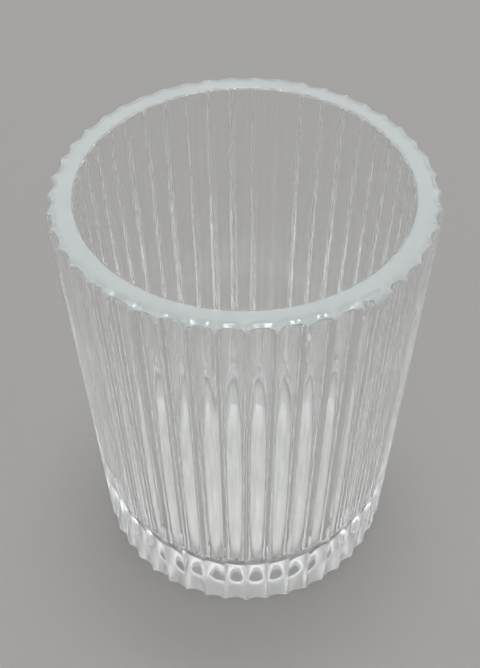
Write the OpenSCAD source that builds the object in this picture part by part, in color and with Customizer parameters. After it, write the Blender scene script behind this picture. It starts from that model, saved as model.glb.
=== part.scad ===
// Chai glass: a clear pressed tumbler. Concave flutes meet in narrow edges all round the outside,
// the bore is smooth and round, the rim is fire-polished, and the foot is a thick block of glass
// with a shallow hollow under it. The real glass is one piece. It is kept here as three zones that
// meet face to face: base, fluted_wall and rim.
// Units are millimetres. +Z is up. The origin is the centre of the ring that the glass stands on.
// One edge between two flutes points along -Y.

/* [Body] */
// Height from the table to the top of the rim
height = 89; // [75:1:120]
// Diameter over the edges of the flutes at the rim
rim_diameter = 68; // [62:1:84]
// Diameter over the edges of the flutes at the table
foot_diameter = 63.8; // [56:0.2:80]

/* [Flutes] */
// Number of flutes round the glass
flute_count = 45; // [30:1:54]
// Depth of a flute at the rim, from its edges to the bottom of its hollow
flute_depth = 1; // [0.7:0.1:1.6]
// Width of the blunt edge between two flutes at the rim
edge_width = 0.3; // [0.1:0.1:0.6]

/* [Wall and floor] */
// Thickness at the rim, from the edges of the flutes to the bore
rim_wall = 4.8; // [4:0.1:7]
// Thickness at the floor, from the edges of the flutes to the bore
foot_wall = 5.2; // [4.2:0.1:8]
// Height of the floor inside above the table
floor_height = 9; // [7:0.5:24]
// Radius of the corner between the floor and the bore
floor_corner = 6; // [2:0.5:10]

/* [Rounded edges] */
// Radius of the outer edge of the rim
rim_round = 1.2; // [0.4:0.1:1.6]
// Radius of the edge between the rim and the bore
bore_round = 0.6; // [0.2:0.1:1.2]
// Radius of the outer edge of the foot
heel_round = 1.2; // [0.3:0.1:1.6]

/* [Underside] */
// Diameter of the shallow hollow under the foot
hollow_diameter = 44; // [28:1:50]
// Height of that hollow at its middle
hollow_rise = 4; // [0.8:0.2:5]

/* [Zones] */
// Height of the zone that is kept as the rim
rim_band = 8; // [4:1:16]

/* [Hidden] */
$fn = 96;

// How far a cut runs past the face that it opens
overrun = 1;
glass_tint = [0.86, 0.91, 0.92, 0.45];
rim_tint = [0.80, 0.85, 0.87, 0.75];

rim_r = rim_diameter / 2;
foot_r = foot_diameter / 2;
hollow_r = hollow_diameter / 2;
corner_z = floor_height + floor_corner;
rim_bottom = height - rim_band;

// The outside tapers evenly over the edges of the flutes
outer_slope = (rim_r - foot_r) / height;
function outer_r(z) = foot_r + outer_slope * z;

// The bore tapers evenly from the floor to the rim
floor_bore_r = outer_r(floor_height) - foot_wall;
bore_slope = (rim_r - rim_wall - floor_bore_r) / (height - floor_height);
function bore_r(z) = floor_bore_r + bore_slope * (z - floor_height);

// A circle of radius r at height z that touches a sloping wall from inside: the distance of its
// centre from the axis, and the point where it touches
function touch_x(wall_r, slope, r) = wall_r - r * norm([1, slope]);
function touch_point(centre, slope, r) = centre + r * [1, -slope] / norm([1, slope]);

// Centres of the rounded edges and of the corner inside
lip_centre = [touch_x(outer_r(height - rim_round), outer_slope, rim_round), height - rim_round];
heel_centre = [touch_x(outer_r(heel_round), outer_slope, heel_round), heel_round];
corner_centre = [touch_x(bore_r(corner_z), bore_slope, floor_corner), corner_z];

// A flute is an arc, and all its sizes follow the radius of the glass from the table to the rim
half_pitch = 180 / flute_count;
flute_half_width = rim_r * sin(half_pitch) - edge_width / 2;
flute_sag = flute_depth - rim_r * (1 - cos(half_pitch));
flute_r = (pow(flute_half_width, 2) + pow(flute_sag, 2)) / (2 * flute_sag);
flute_axis_r = rim_r - flute_depth + flute_r;
first_flute = half_pitch - 90;
function at_height(size, z) = size * outer_r(z) / rim_r;

// Section of the outside before the flutes are cut
module outer_section() {
    polygon([
        [0, 0],
        [heel_centre[0], 0],
        touch_point(heel_centre, outer_slope, heel_round),
        touch_point(lip_centre, outer_slope, rim_round),
        [lip_centre[0], height],
        [0, height]
    ]);
    translate(heel_centre)
        circle(heel_round);
    translate(lip_centre)
        circle(rim_round);
}

// Section of the space inside, with its floor corner
module bore_section() {
    open_z = height + overrun;
    polygon([
        [0, floor_height],
        [corner_centre[0], floor_height],
        touch_point(corner_centre, bore_slope, floor_corner),
        [bore_r(open_z), open_z],
        [0, open_z]
    ]);
    translate(corner_centre)
        circle(floor_corner);
}

// Section of the quarter-round that widens the bore at the rim
module lip_section() {
    lip_z = height - bore_round;
    lip_x = bore_r(lip_z);
    difference() {
        translate([lip_x - overrun, lip_z])
            square([bore_round + overrun, bore_round + overrun]);
        translate([lip_x + bore_round, lip_z])
            circle(bore_round);
    }
}

// All the flutes: leaning cones side by side, longer than the glass at both ends
module flutes() {
    low_z = -overrun;
    high_z = height + overrun;
    low_x = at_height(flute_axis_r, low_z);
    lean = atan((at_height(flute_axis_r, high_z) - low_x) / (high_z - low_z));
    for (i = [0 : flute_count - 1])
        rotate(first_flute + i * 2 * half_pitch)
            translate([low_x, 0, low_z])
                rotate([0, lean, 0])
                    cylinder(h = high_z - low_z, r1 = at_height(flute_r, low_z), r2 = at_height(flute_r, high_z));
}

// The glass between two heights, with its flutes and its bore
module zone(low_z, high_z) {
    difference() {
        rotate_extrude()
            intersection() {
                outer_section();
                translate([0, low_z])
                    square([rim_r + foot_r, high_z - low_z]);
            }
        rotate_extrude() {
            bore_section();
            lip_section();
        }
        flutes();
    }
}

// The thick foot, up to the top of the corner between floor and bore, with the hollow under it
module base() {
    ball_r = (pow(hollow_r, 2) + pow(hollow_rise, 2)) / (2 * hollow_rise);
    color(glass_tint)
        difference() {
            zone(0, corner_z);
            translate([0, 0, hollow_rise - ball_r])
                sphere(ball_r);
        }
}

// The fluted wall between the foot and the rim
module fluted_wall() {
    color(glass_tint)
        zone(corner_z, rim_bottom);
}

// The top of the wall, with its rounded edges
module rim() {
    color(rim_tint)
        zone(rim_bottom, height);
}

base();
fluted_wall();
rim();
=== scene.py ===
"""A clear pressed chai glass with concave flutes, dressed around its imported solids.

The glass is one continuous closed skin, worked out as a grid: its columns run round the axis, with
many to each flute, and its rows run along the section, from the middle of the underside, up the
fluted outside, over the rim, down the bore and to the middle of the floor. All lengths are metres.
"""

import logging
import math
from dataclasses import dataclass, field, fields
from enum import Enum

import bpy
import numpy as np
from mathutils import Euler, Matrix, Vector


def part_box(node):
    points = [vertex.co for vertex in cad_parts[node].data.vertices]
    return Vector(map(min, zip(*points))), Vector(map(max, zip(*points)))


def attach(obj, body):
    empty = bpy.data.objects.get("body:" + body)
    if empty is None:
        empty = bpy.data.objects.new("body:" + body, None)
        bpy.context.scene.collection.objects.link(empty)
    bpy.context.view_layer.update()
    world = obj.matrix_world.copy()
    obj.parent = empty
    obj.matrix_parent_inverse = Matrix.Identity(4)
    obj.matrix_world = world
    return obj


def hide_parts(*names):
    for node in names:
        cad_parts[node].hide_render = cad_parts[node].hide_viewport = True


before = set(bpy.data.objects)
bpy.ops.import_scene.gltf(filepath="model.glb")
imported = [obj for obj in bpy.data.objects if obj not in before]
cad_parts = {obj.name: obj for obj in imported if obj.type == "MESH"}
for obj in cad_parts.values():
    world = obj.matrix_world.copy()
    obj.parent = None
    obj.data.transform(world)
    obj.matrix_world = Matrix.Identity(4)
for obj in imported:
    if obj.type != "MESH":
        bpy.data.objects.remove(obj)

MM = 0.001
LOG = logging.getLogger("chai_glass")
Colour = tuple[float, float, float, float]


class Body(Enum):
    """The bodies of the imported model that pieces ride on."""

    ROOT = "root"


class Slot(Enum):
    """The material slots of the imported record."""

    GLASS = "clear_glass"


class Mask(Enum):
    """The skin's own attributes, each from 0 to 1, that say where the rim's painted light, the edges' wear and
    painted pale lines, and the floor's painted light lie.
    """

    EDGE = "edge"
    RIM = "rim"
    FLOOR = "foot"


# Shader helpers


@dataclass
class Wire:
    """A socket of a shader graph, with the sums that are used on it."""

    graph: "Graph"
    socket: bpy.types.NodeSocket

    def _maths(self, operation: str, *values: "Wire | float") -> "Wire":
        """Add a Math node and return its result."""
        return self.graph.node("ShaderNodeMath", {"operation": operation}, dict(enumerate(values)))

    def __add__(self, other: "Wire | float") -> "Wire":
        """Sum."""
        return self._maths("ADD", self, other)

    __radd__ = __add__

    def __sub__(self, other: "Wire | float") -> "Wire":
        """Difference."""
        return self._maths("SUBTRACT", self, other)

    def __rsub__(self, other: "Wire | float") -> "Wire":
        """Difference, with this value taken away."""
        return self._maths("SUBTRACT", other, self)

    def __mul__(self, other: "Wire | float") -> "Wire":
        """Product."""
        return self._maths("MULTIPLY", self, other)

    __rmul__ = __mul__

    def larger(self, other: "Wire | float") -> "Wire":
        """The larger of two values."""
        return self._maths("MAXIMUM", self, other)

    def ramp(self, low: float, high: float) -> "Wire":
        """Rise smoothly from 0 to 1.

        Args:
            low: the value up to which the result is 0.
            high: the value from which the result is 1.

        Returns:
            The smooth step.
        """
        return self.graph.node(
            "ShaderNodeMapRange",
            {"interpolation_type": "SMOOTHSTEP", "clamp": True},
            {"Value": self, "From Min": low, "From Max": high},
        )


Inputs = dict[int | str, Wire | float | tuple[float, ...]]


@dataclass
class Graph:
    """The node tree of one material, or of the world."""

    tree: bpy.types.NodeTree

    def fill(self, made: bpy.types.Node, inputs: Inputs) -> None:
        """Set a node's inputs.

        Args:
            made: the node.
            inputs: values or wires, by the socket's name or place.
        """
        for key, value in inputs.items():
            if isinstance(value, Wire):
                self.tree.links.new(value.socket, made.inputs[key])
            else:
                made.inputs[key].default_value = value

    def node(self, kind: str, settings: dict[str, str | bool], inputs: Inputs, out: int | str = 0) -> Wire:
        """Add a node.

        Args:
            kind: Blender's name of the node's type.
            settings: the node's own properties, set before its sockets.
            inputs: values or wires, by the socket's name or place.
            out: the name or place of the socket that is returned.

        Returns:
            The chosen output, as a wire.
        """
        made = self.tree.nodes.new(kind)
        for name, value in settings.items():
            setattr(made, name, value)
        self.fill(made, inputs)
        return Wire(self, made.outputs[out])

    def mask(self, which: Mask) -> Wire:
        """One of the skin's own attributes."""
        return self.node("ShaderNodeAttribute", {"attribute_name": which.value}, {}, "Fac")

    def place(self, scale: tuple[float, float, float]) -> Wire:
        """Object coordinates, stretched by scale, in turns per metre."""
        where = self.node("ShaderNodeTexCoord", {}, {}, "Object")
        return self.node("ShaderNodeMapping", {"vector_type": "POINT"}, {"Vector": where, "Scale": scale})

    def noise(self, scale: tuple[float, float, float], detail: float, roughness: float) -> Wire:
        """Add noise on the object's coordinates.

        Args:
            scale: one over the width of a grain, along each axis.
            detail: number of finer layers.
            roughness: strength of each finer layer, as a share of the one before.

        Returns:
            Noise from 0 to 1.
        """
        return self.node(
            "ShaderNodeTexNoise",
            {"noise_dimensions": "3D"},
            {"Vector": self.place(scale), "Scale": 1.0, "Detail": detail, "Roughness": roughness},
            "Fac",
        )


def new_material(name: str) -> tuple[bpy.types.Material, Graph, bpy.types.Node]:
    """Make a node material.

    Args:
        name: the material's name.

    Returns:
        The material, its graph and its Principled shader.
    """
    material = bpy.data.materials.new(name)
    material.use_nodes = True
    return material, Graph(material.node_tree), material.node_tree.nodes["Principled BSDF"]


@dataclass(frozen=True)
class GlassFace:
    """How one kind of face of the glass looks: its colour, the share of light let through, its roughness."""

    colour: Colour
    clearness: float
    roughness: float

    def sockets(self, ior: float) -> dict[str, float | Colour]:
        """Values for a Principled shader's sockets, for glass that bends light by ior."""
        return {
            "Base Color": self.colour, "IOR": ior,
            "Transmission Weight": self.clearness, "Roughness": self.roughness,
        }


@dataclass(frozen=True)
class PressedGlass:
    """Clear pressed glass: a wall with faint mould waves, painted light on the rim, and pale edges and a pale
    floor.

    The mask RIM mixes in a pale, part-diffuse face on the fire-polished top: painted light that stands in
    for the light that the wall carries up into the rim. A pale, rough face lies over both: the mask FLOOR
    puts it on the floor inside, with soft clouds in it, as painted light that stands in for the light
    that the base gathers; the mask EDGE puts it, much more faintly, on the edges between the flutes,
    as wear and as painted pale lines that stand in for light bent at the edges.
    """

    name: str = "clear_pressed_glass"
    ior: float = 1.5
    wall: GlassFace = GlassFace((0.99, 0.998, 0.995, 1.0), 1.0, 0.02)
    # Pale, part-diffuse face for the rim: painted light that stands in for the light the wall carries up into
    # the rim
    painted_rim_light: GlassFace = GlassFace((0.70, 0.74, 0.745, 1.0), 0.55, 0.05)
    # Pale, rough face: on the floor inside it is painted light that stands in for light gathered in the base;
    # on the edges it is wear and painted pale lines that stand in for light bent at the edges
    pale_wear_and_light: GlassFace = GlassFace((0.93, 0.93, 0.91, 1.0), 0.25, 0.6)
    # Share of the pale face on the edges, as wear and painted light, and on the floor inside, as painted
    # light, with clouds that vary the floor's painted light
    edge_wear_and_light: float = 0.3
    floor_share: float = 0.56
    cloud_share: float = 0.16
    cloud_width: float = 9 * MM
    cloud_detail: float = 2.0
    cloud_roughness: float = 0.5
    cloud_range: tuple[float, float] = (0.3, 0.7)
    wave_width: float = 2.2 * MM
    wave_length: float = 160 * MM
    wave_depth: float = 0.00015 * MM
    wave_detail: float = 2.0
    wave_roughness: float = 0.55

    def material(self) -> bpy.types.Material:
        """Build the shader.

        Returns:
            The material.
        """
        material, graph, shader = new_material(self.name)
        across, along, grain = 1 / self.wave_width, 1 / self.wave_length, 1 / self.cloud_width
        waves = graph.noise((across, across, along), self.wave_detail, self.wave_roughness)
        relief = graph.node(
            "ShaderNodeBump", {}, {"Height": waves * self.wave_depth, "Strength": 1.0, "Distance": 1.0}
        )
        graph.fill(shader, self.wall.sockets(self.ior) | {"Normal": relief})
        clear = Wire(graph, shader.outputs["BSDF"])
        # The rim's painted light: a pale, part-diffuse face
        painted_rim_light = graph.node("ShaderNodeBsdfPrincipled", {}, self.painted_rim_light.sockets(self.ior))
        pale_wear_and_light = graph.node("ShaderNodeBsdfPrincipled", {}, self.pale_wear_and_light.sockets(self.ior))
        both = graph.node("ShaderNodeMixShader", {}, {0: graph.mask(Mask.RIM), 1: clear, 2: painted_rim_light})
        clouds = graph.noise((grain, grain, grain), self.cloud_detail, self.cloud_roughness)
        # The floor's painted light, varied by the clouds
        floor = graph.mask(Mask.FLOOR) * (clouds.ramp(*self.cloud_range) * self.cloud_share + self.floor_share)
        # The larger of the floor's painted light and the edges' wear with painted pale lines
        share = floor.larger(graph.mask(Mask.EDGE) * self.edge_wear_and_light)
        whole = graph.node("ShaderNodeMixShader", {}, {0: share, 1: both, 2: pale_wear_and_light})
        graph.fill(material.node_tree.nodes["Material Output"], {"Surface": whole})
        return material


@dataclass(frozen=True)
class StudioFloor:
    """A plain pale floor, matt."""

    name: str = "studio_floor"
    colour: Colour = (0.335, 0.32, 0.31, 1.0)
    roughness: float = 0.9

    def material(self) -> bpy.types.Material:
        """Build the shader.

        Returns:
            The material.
        """
        material, graph, shader = new_material(self.name)
        graph.fill(shader, {"Base Color": self.colour, "Roughness": self.roughness})
        return material


# Shapes


def put_mesh(name: str, points: np.ndarray, faces: list[np.ndarray]) -> bpy.types.Object:
    """Make a smooth mesh object at the origin.

    Args:
        name: the object's name.
        points: n by 3 array of places.
        faces: arrays of corner numbers, one array for each number of corners.

    Returns:
        The object, linked to the scene.
    """
    mesh = bpy.data.meshes.new(name)
    mesh.from_pydata(points, [], [corners for block in faces for corners in block.tolist()])
    mesh.validate()
    mesh.shade_smooth()
    made = bpy.data.objects.new(name, mesh)
    bpy.context.scene.collection.objects.link(made)
    return made


@dataclass
class Stretch:
    """A run of rows along the section. Each array has one value for each row, in a column of its own.

    Heights are above the table and radii are those of the plain turned body. The flutes cut into the
    rows where fluted is 1, and leave the bore and the underside round. The rim light share says where
    painted light stands in for the light carried up into the rim, the floor light share where the floor
    inside is painted pale as painted light, and dip how far the fire drew the row down in the middle
    of a flute.
    """

    height: np.ndarray | float
    radius: np.ndarray
    fluted: np.ndarray | float = 0.0
    # Shares of painted light: on the rim, and on the floor inside
    rim_light_share: np.ndarray | float = 0.0
    floor_light_share: np.ndarray | float = 0.0
    dip: np.ndarray | float = 0.0

    def __post_init__(self) -> None:
        """Spread every value over all the rows."""
        shape = (len(self.radius), 1)
        for part in fields(self):
            values = np.reshape(getattr(self, part.name), (-1, 1))
            setattr(self, part.name, np.broadcast_to(values, shape))

    @classmethod
    def join(cls, runs: list["Stretch"]) -> "Stretch":
        """One stretch with the rows of all the runs, in their order."""
        return cls(*(np.concatenate([getattr(run, part.name) for run in runs]) for part in fields(cls)))


@dataclass(frozen=True)
class Flaw:
    """A small lump (depth above 0) or chip (depth below 0) in the outside near the rim.

    It falls off on all sides as exp(-x**squareness), where x is 1 at half its size: the angle round
    the axis is in degrees, and width and tall are half of its sizes round the glass and up it.
    """

    angle: float
    height: float
    width: float
    tall: float
    depth: float
    squareness: int = 4

    def spread(self, height: np.ndarray, angle: np.ndarray, radius: float) -> np.ndarray:
        """Work out how far it moves the skin.

        Args:
            height: heights of the rows, in a column.
            angle: angles of the columns round the axis.
            radius: radius of the glass at the flaw.

        Returns:
            The moves outwards, rows by columns.
        """
        turn = np.angle(np.exp(1j * (angle - math.radians(self.angle))))
        across, along = turn * radius / self.width, (height - self.height) / self.tall
        return self.depth * np.exp(-(across**self.squareness) - along**self.squareness)


@dataclass
class Tumbler:
    """The glass: its sizes, its skin and its finish, painted light included.

    The sizes repeat the part's own. Height, rim and foot come from the frame's boxes. The fields
    that end in rows are numbers of rows, and those that end in seed start the dice.
    """

    finish_and_painted_light: PressedGlass = field(default_factory=PressedGlass)

    flute_count: int = 45
    flute_depth: float = 1 * MM
    flute_flatness: float = 2.2
    edge_softness: float = 0.1 * MM
    rim_wall: float = 4.8 * MM
    foot_wall: float = 5.2 * MM
    floor_height: float = 9 * MM
    floor_corner: float = 6 * MM
    rim_round: float = 1.2 * MM
    bore_round: float = 0.6 * MM
    heel_round: float = 1.2 * MM
    hollow_radius: float = 22 * MM
    hollow_rise: float = 4 * MM
    ring_lift: float = 0.05 * MM
    ring_margin: float = 0.8 * MM
    rim_crown: float = 0.05 * MM

    # How the flutes differ: by shares of their depth and flatness, and with slow waves round the glass
    depth_spread: float = 0.17
    flatness_spread: float = 0.35
    flute_seed: int = 23
    flute_drift: float = 0.03 * MM
    drift_turns: tuple[int, ...] = (5, 8, 13, 19, 27, 34)
    drift_seed: int = 7

    # How far the fire drew the flutes' ends down at the rim, how unevenly, and the flaws near the rim
    rim_dip: float = 0.26 * MM
    dip_steepness: int = 8
    lump_turns: tuple[int, ...] = (17, 31, 67, 103, 151, 187)
    lump_divisor: float = 4
    lump_share: float = 0.55
    lump_seed: int = 11
    flaws: tuple[Flaw, ...] = (
        Flaw(-51.0, 87.6 * MM, 2.6 * MM, 1.2 * MM, 1.5 * MM),
        Flaw(-56.5, 87.4 * MM, 0.5 * MM, 1.6 * MM, -0.7 * MM),
        Flaw(-73.5, 87.2 * MM, 0.4 * MM, 1.3 * MM, -0.4 * MM),
        Flaw(-74.5, 85.2 * MM, 0.3 * MM, 0.9 * MM, 0.3 * MM),
        Flaw(-66.5, 82.0 * MM, 0.4 * MM, 0.35 * MM, 0.3 * MM),
    )

    # Where the edges are worn and painted pale, as wear and as painted lines that stand in for light bent at
    # the edges: fully within inner of an edge, and not past outer. Up the glass it grows as a power, rise,
    # of the height up to wear_light_height, and goes towards the rim as a power, fall
    wear_light_inner: float = 0.25 * MM
    wear_light_outer: float = 0.85 * MM
    wear_light_height: float = 14 * MM
    wear_light_rise: int = 2
    wear_light_fall: float = 0.7

    # How steeply the painted light on the floor inside goes in its corner
    floor_light_steepness: int = 6

    # Fineness of the skin, and the smallest ring at its two ends, as a share of the largest
    steps_per_flute: int = 20
    pole_share: float = 0.06
    hollow_rows: int = 12
    ring_rows: int = 6
    round_rows: int = 11
    wall_rows: int = 8
    fine_band: float = 12 * MM
    fine_rows: int = 13
    crown_rows: int = 8
    bore_rows: int = 8
    corner_rows: int = 13
    floor_rows: int = 7

    height: float = field(init=False)
    taper: float = field(init=False)
    foot_radius: float = field(init=False)
    rim_radius: float = field(init=False)
    floor_bore: float = field(init=False)
    bore_taper: float = field(init=False)
    half_pitch: float = field(init=False)
    first_edge: float = -math.pi / 2

    def __post_init__(self) -> None:
        """Take the outer taper and the height from the frame."""
        base_low, base_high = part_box("base")
        rim_low, rim_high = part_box("rim")
        self.height = rim_high[2]
        base_edge, rim_edge = -base_low[1], -rim_low[1]
        rim_edge_height = self.height - self.rim_round
        self.taper = (rim_edge - base_edge) / (rim_edge_height - base_high[2])
        self.foot_radius = base_edge - self.taper * base_high[2]
        self.rim_radius = self.edge_radius(self.height)
        self.floor_bore = self.edge_radius(self.floor_height) - self.foot_wall
        bore_height = self.height - self.floor_height
        self.bore_taper = (self.rim_radius - self.rim_wall - self.floor_bore) / bore_height
        self.half_pitch = math.pi / self.flute_count

    def edge_radius(self, height: np.ndarray | float) -> np.ndarray | float:
        """Radius over the edges of the flutes, which tapers evenly."""
        return self.foot_radius + self.taper * height

    def bore_radius(self, height: np.ndarray | float) -> np.ndarray | float:
        """Radius of the bore, which tapers evenly."""
        return self.floor_bore + self.bore_taper * (height - self.floor_height)

    def angles(self) -> tuple[np.ndarray, np.ndarray]:
        """Place the columns, closest together at the edges between flutes.

        Returns:
            The angles round the axis, and the angles from the middle of the column's own flute.
        """
        steps = np.arange(self.steps_per_flute) / self.steps_per_flute * 2 - 1
        within = np.sin(steps * math.pi / 2) * self.half_pitch
        flute = np.arange(self.flute_count)[:, None] * 2 * self.half_pitch
        round_axis = self.first_edge + self.half_pitch + flute + within
        return round_axis.ravel(), np.tile(within, self.flute_count)

    def hollows(self, height: np.ndarray, within: np.ndarray) -> np.ndarray:
        """Work out the flutes' hollows, which are flattest in the middle and steepest at the edges.

        A hollow rises from its middle as a power, its flatness, of the angle. Each flute has its own
        depth and flatness, and all its sizes follow the radius of the glass from table to rim.

        Args:
            height: heights of the rows, in a column.
            within: angle of each column from the middle of its own flute.

        Returns:
            Radii, rows by columns.
        """
        dice = np.random.default_rng(self.flute_seed)
        draws = dice.uniform(-1, 1, (2, self.flute_count))
        deep, flat = np.repeat(draws, self.steps_per_flute, axis=1)
        flatness = self.flute_flatness * (1 + self.flatness_spread * flat)
        depth = self.flute_depth * (1 + self.depth_spread * deep)
        rise = np.abs(within / self.half_pitch) ** flatness
        return self.edge_radius(height) / self.rim_radius * (self.rim_radius - depth * (1 - rise))

    def drift(self, height: np.ndarray, angle: np.ndarray) -> np.ndarray:
        """Work out how far the mould's slow waves move the flutes: a mean of leaning sine waves.

        Args:
            height: heights of the rows, in a column.
            angle: angles of the columns round the axis.

        Returns:
            The moves outwards, rows by columns.
        """
        dice = np.random.default_rng(self.drift_seed)
        total = np.zeros((len(height), len(angle)))
        for turns in self.drift_turns:
            start, _ = dice.uniform(0, 2 * math.pi, 2)
            rise = dice.uniform(-1, 1) * 2 * math.pi / self.height
            total += np.sin(turns * angle + start + rise * height) / len(self.drift_turns)
        return total * self.flute_drift

    def lumps(self, angle: np.ndarray) -> np.ndarray:
        """Work out how unevenly the fire rounded the flutes' ends: a sum of sine waves round the rim.

        Args:
            angle: angles of the columns round the axis.

        Returns:
            A value for each column, mostly from -1 to 1.
        """
        dice = np.random.default_rng(self.lump_seed)
        waves = [np.sin(turns * angle + dice.uniform(0, 2 * math.pi)) for turns in self.lump_turns]
        return sum(waves) / self.lump_divisor

    def blunted(self, near: np.ndarray, body: np.ndarray) -> np.ndarray:
        """Cut the flutes into the turned body and blunt the edges between them.

        The result is the soft minimum of both radii: the lower one, less softness times
        log(1 + exp(-gap / softness)).

        Args:
            near: radii of the flutes' hollows.
            body: radii of the turned body.

        Returns:
            Radii, rows by columns.
        """
        low, high = np.minimum(near, body), np.maximum(near, body)
        return low - self.edge_softness * np.log1p(np.exp((low - high) / self.edge_softness))

    def foot_rows(self) -> list[Stretch]:
        """Work out the rows of the foot: the ball-shaped hollow, the flat ring and the rounded heel.

        Returns:
            The stretches, from the underside's middle outwards.
        """
        ball = (self.hollow_radius**2 + self.hollow_rise**2) / (2 * self.hollow_rise)
        dish = np.linspace(self.pole_share, 1, self.hollow_rows + 1)[:-1] * self.hollow_radius
        under = Stretch(self.hollow_rise - ball + np.sqrt(ball**2 - dish**2), dish)
        foot_x = self.edge_radius(self.heel_round) - self.heel_round
        ring_height = np.zeros(self.ring_rows)
        ring_height[0] = self.ring_lift
        ring = Stretch(ring_height, np.linspace(self.hollow_radius, foot_x - self.ring_margin, self.ring_rows))
        quarter = np.linspace(0, math.pi / 2, self.round_rows)
        heel = Stretch(
            self.heel_round * (1 - np.cos(quarter)), foot_x + self.heel_round * np.sin(quarter), 1.0
        )
        return [under, ring, heel]

    def rim_rows(self) -> list[Stretch]:
        """Work out the rows of the outer wall and the rim: wall, shoulder, slightly crowned top and lip.

        Returns:
            The stretches, from the heel up and over the rim to the bore.
        """
        top, shoulder_z, lip_z = self.height, self.height - self.rim_round, self.height - self.bore_round
        quarter = np.linspace(0, math.pi / 2, self.round_rows)
        near_rim = top - self.fine_band
        wall_z = np.concatenate([
            np.linspace(self.heel_round, near_rim, self.wall_rows + 1)[1:],
            np.linspace(near_rim, shoulder_z, self.fine_rows + 2)[1:-1],
        ])
        wall = Stretch(wall_z, self.edge_radius(wall_z), 1.0)
        outer_x = self.edge_radius(shoulder_z) - self.rim_round
        # The shoulder, crown and lip carry the rim's painted light
        shoulder = Stretch(
            top - self.rim_crown - (self.rim_round - self.rim_crown) * (1 - np.sin(quarter)),
            outer_x + self.rim_round * np.cos(quarter), 1.0, rim_light_share=1.0, dip=np.sin(quarter),
        )
        lip_r = self.bore_radius(lip_z)
        across = np.linspace(0, 1, self.crown_rows + 2)[1:-1]
        crown = Stretch(
            top - self.rim_crown * (1 - across) ** 2,
            outer_x + (lip_r + self.bore_round - outer_x) * across, 1.0,
            rim_light_share=1.0, dip=(1 - across) ** self.dip_steepness,
        )
        lip = Stretch(
            lip_z + self.bore_round * np.cos(quarter), lip_r + self.bore_round * (1 - np.sin(quarter)),
            rim_light_share=np.cos(quarter) ** 2,
        )
        return [wall, shoulder, crown, lip]

    def inside_rows(self) -> list[Stretch]:
        """Work out the rows of the inside: the bore, its corner with the floor, and the floor.

        Returns:
            The stretches, from the lip down to the floor's middle.
        """
        corner_z = self.floor_height + self.floor_corner
        corner_x = self.bore_radius(corner_z) - self.floor_corner
        bore_z = np.linspace(self.height - self.bore_round, corner_z, self.bore_rows + 2)[1:-1]
        turn = np.linspace(0, math.pi / 2, self.corner_rows)
        floor_x = np.linspace(corner_x, self.pole_share * corner_x, self.floor_rows + 1)[1:]
        # The corner and the floor inside carry the floor's painted light
        return [
            Stretch(bore_z, self.bore_radius(bore_z)),
            Stretch(
                corner_z - self.floor_corner * np.sin(turn), corner_x + self.floor_corner * np.cos(turn),
                floor_light_share=np.sin(turn) ** self.floor_light_steepness,
            ),
            Stretch(self.floor_height, floor_x, floor_light_share=1.0),
        ]

    def faces(self, row_count: int, column_count: int) -> list[np.ndarray]:
        """Number the corners of the faces, with the two poles last among the points.

        Args:
            row_count: number of rows.
            column_count: number of columns.

        Returns:
            The quads between the rows, and the triangles round the pole below and the pole inside.
        """
        under_pole = row_count * column_count
        number = np.arange(under_pole).reshape(row_count, column_count)
        right = np.roll(number, -1, axis=1)
        quads = np.stack([number[:-1], right[:-1], right[1:], number[1:]], axis=-1).reshape(-1, 4)
        under = np.stack([np.full(column_count, under_pole), right[0], number[0]], axis=-1)
        floor = np.stack([np.full(column_count, under_pole + 1), number[-1], right[-1]], axis=-1)
        return [quads, under, floor]

    def worn_and_lit_edges(self, rows: Stretch, from_edge: np.ndarray) -> np.ndarray:
        """Work out how worn and painted pale the edges between the flutes are, as wear and as painted lines
        that stand in for light bent at the edges: a smooth step, more so low on the wall.

        Args:
            rows: the section.
            from_edge: distance round the glass from the nearest edge, rows by columns.

        Returns:
            Shares from 0 to 1, rows by columns.
        """
        fade = np.clip((self.wear_light_outer - from_edge) / (self.wear_light_outer - self.wear_light_inner), 0, 1)
        above_foot = np.clip(rows.height / self.wear_light_height, 0, 1) ** self.wear_light_rise
        below_rim = np.clip(1 - rows.height / self.height, 0, 1) ** self.wear_light_fall
        return fade**2 * (3 - 2 * fade) * (above_foot * below_rim) * rows.fluted

    def skin(self) -> bpy.types.Object:
        """Make the closed skin: rows by columns of points, and one point in the middle of each end.

        Returns:
            The object, with its masks as attributes.
        """
        rows = Stretch.join(self.foot_rows() + self.rim_rows() + self.inside_rows())
        angle, within = self.angles()
        near = self.hollows(rows.height, within) + self.drift(rows.height, angle)
        chips = np.zeros_like(near)
        for flaw in self.flaws:
            moved = near if flaw.depth > 0 else chips
            moved += flaw.spread(rows.height, angle, self.rim_radius)
        radius = np.where(rows.fluted > 0, self.blunted(near, rows.radius) + chips, rows.radius)
        from_middle = np.abs(within / self.half_pitch)
        dip = rows.dip * (1 + self.lump_share * self.lumps(angle))
        z = rows.height - self.rim_dip * dip * (1 - from_middle**2)
        grid = np.stack([radius * np.cos(angle), radius * np.sin(angle), z], axis=-1)
        poles = [[0, 0, self.hollow_rise], [0, 0, self.floor_height]]
        skin = put_mesh("chai_glass", np.concatenate([grid.reshape(-1, 3), poles]), self.faces(*radius.shape))
        # Where the rim's and the floor's painted light lie, and the edges' wear with painted pale lines
        masks = {
            Mask.EDGE: self.worn_and_lit_edges(rows, (self.half_pitch - np.abs(within)) * radius),
            Mask.RIM: rows.rim_light_share * np.clip((near - rows.radius) / self.edge_softness + 1, 0, 1),
            Mask.FLOOR: np.broadcast_to(rows.floor_light_share, radius.shape),
        }
        for which, mask in masks.items():
            layer = skin.data.attributes.new(which.value, "FLOAT", "POINT")
            ends = [mask[0, 0], mask[-1, 0]]
            layer.data.foreach_set("value", np.concatenate([mask.ravel(), ends]).astype(np.float32))
        return skin

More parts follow.
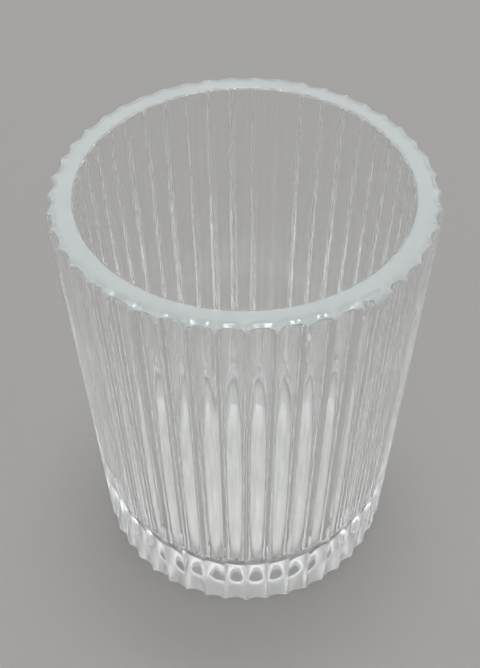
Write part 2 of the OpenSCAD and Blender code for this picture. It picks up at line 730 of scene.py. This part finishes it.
    def build(self) -> bpy.types.Object:
        """Make the skin, dress it and put it in place of the three solids.

        Returns:
            The glass.
        """
        glass = self.skin()
        glass.data.materials.append(self.finish_and_painted_light.material())
        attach(glass, Body.ROOT.value)
        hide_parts("base", "fluted_wall", "rim")
        return glass


# The studio


@dataclass(frozen=True)
class Panel:
    """A soft rectangular lamp. The angles are in degrees: around from +X, and up from the table."""

    name: str
    around: float
    up: float
    width: float
    tall: float
    radiance: float
    distance: float = 1.0

    def hang(self, target: Vector) -> None:
        """Hang the lamp so that it faces a target.

        Args:
            target: the place that it faces and that its distance is taken from.
        """
        data = bpy.data.lights.new(self.name, "AREA")
        data.shape = "RECTANGLE"
        data.size, data.size_y = self.width, self.tall
        data.energy = self.radiance * math.pi * self.width * self.tall
        lamp = bpy.data.objects.new(self.name, data)
        around, up = math.radians(self.around), math.radians(self.up)
        way = Vector((math.cos(around) * math.cos(up), math.sin(around) * math.cos(up), math.sin(up)))
        lamp.location = target + way * self.distance
        lamp.rotation_euler = way.to_track_quat("Z", "Y").to_euler()
        bpy.context.scene.collection.objects.link(lamp)


@dataclass
class Studio:
    """The floor, the lamps, the world and the camera.

    The world is even but for a brighter ring, as windows round a room give. The four angles of band
    are degrees up, where the ring starts, is full, begins to fade and ends.
    """

    floor: StudioFloor = field(default_factory=StudioFloor)
    floor_size: float = 3.0
    floor_gap: float = 0.02 * MM

    world_colour: Colour = (0.97, 0.99, 1.0, 1.0)
    world_strength: float = 0.5
    band_strength: float = 1.62
    band: tuple[float, float, float, float] = (26, 32, 48, 54)
    lamps: tuple[Panel, ...] = (
        Panel("overhead_strip", 78, 80, 0.35, 0.17, 12),
    )
    lamp_target: Vector = field(default_factory=lambda: Vector((0, 0, 80 * MM)))
    light_bounces: int = 48

    image_width: int = 480
    focal_pixels: float = 980.8
    sensor: float = 36.0
    near_clip: float = 10 * MM
    distance: float = 170 * MM
    elevation: float = math.radians(39.2)
    azimuth: float = math.radians(-0.42)
    yaw: float = math.radians(0.261)
    pitch: float = math.radians(-8.588)
    roll: float = math.radians(0.125)

    def lay_floor(self) -> bpy.types.Object:
        """Make the floor, a flat square just under the glass.

        Returns:
            The floor.
        """
        half = self.floor_size / 2
        corners = np.array([[-half, -half, 0], [half, -half, 0], [half, half, 0], [-half, half, 0]])
        floor = put_mesh("floor", corners - [0, 0, self.floor_gap], [np.array([[0, 1, 2, 3]])])
        floor.data.materials.append(self.floor.material())
        return floor

    def light(self) -> None:
        """Set the world and hang the lamps."""
        world = bpy.data.worlds.new("studio")
        world.use_nodes = True
        graph = Graph(world.node_tree)
        way = graph.node("ShaderNodeTexCoord", {}, {}, "Object")
        rise = graph.node("ShaderNodeSeparateXYZ", {}, {0: way}, "Z")
        low, full, fade, high = (math.sin(math.radians(up)) for up in self.band)
        ring = rise.ramp(low, full) * (1 - rise.ramp(fade, high))
        strength = ring * (self.band_strength - self.world_strength) + self.world_strength
        sky = world.node_tree.nodes["Background"]
        graph.fill(sky, {"Color": self.world_colour, "Strength": strength})
        bpy.context.scene.world = world
        for lamp in self.lamps:
            lamp.hang(self.lamp_target)

    def aim_camera(self, rim: Vector) -> None:
        """Place the camera as the photo's was.

        Args:
            rim: the middle of the rim, which the distance and the angles are taken from.
        """
        data = bpy.data.cameras.new("photo_view")
        data.sensor_fit = "HORIZONTAL"
        data.sensor_width = self.sensor
        data.lens = self.sensor * self.focal_pixels / self.image_width
        data.clip_start = self.near_clip
        camera = bpy.data.objects.new("photo_view", data)
        bpy.context.scene.collection.objects.link(camera)
        back = Vector((0, -math.cos(self.elevation), math.sin(self.elevation)))
        look = Euler((math.pi / 2 - self.elevation, 0, 0)).to_matrix()
        turn = Euler((self.pitch, self.yaw, -self.roll)).to_matrix()
        around = Matrix.Rotation(self.azimuth, 3, "Z")
        place = Matrix.Translation(rim + around @ (back * self.distance))
        camera.matrix_world = place @ (around @ look @ turn).to_4x4()
        bpy.context.scene.camera = camera

    def build(self, rim: Vector) -> bpy.types.Object:
        """Set up everything round the glass.

        Args:
            rim: the middle of the rim, which the camera looks at.

        Returns:
            The floor.
        """
        floor = self.lay_floor()
        self.light()
        self.aim_camera(rim)
        scene = bpy.context.scene
        scene.view_settings.view_transform = "Standard"
        for kind in ("max_bounces", "transmission_bounces", "glossy_bounces"):
            setattr(scene.cycles, kind, self.light_bounces)
        scene.cycles.blur_glossy = 0.0
        return floor


def main() -> None:
    """Build the glass and its studio."""
    logging.basicConfig(level=logging.INFO, format="%(message)s")
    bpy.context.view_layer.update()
    tumbler = Tumbler()
    glass = tumbler.build()
    floor = Studio().build(Vector((0, 0, tumbler.height)))
    for piece in (glass, floor):
        LOG.info("%s: %d faces", piece.name, len(piece.data.polygons))


if __name__ == "__main__":
    main()
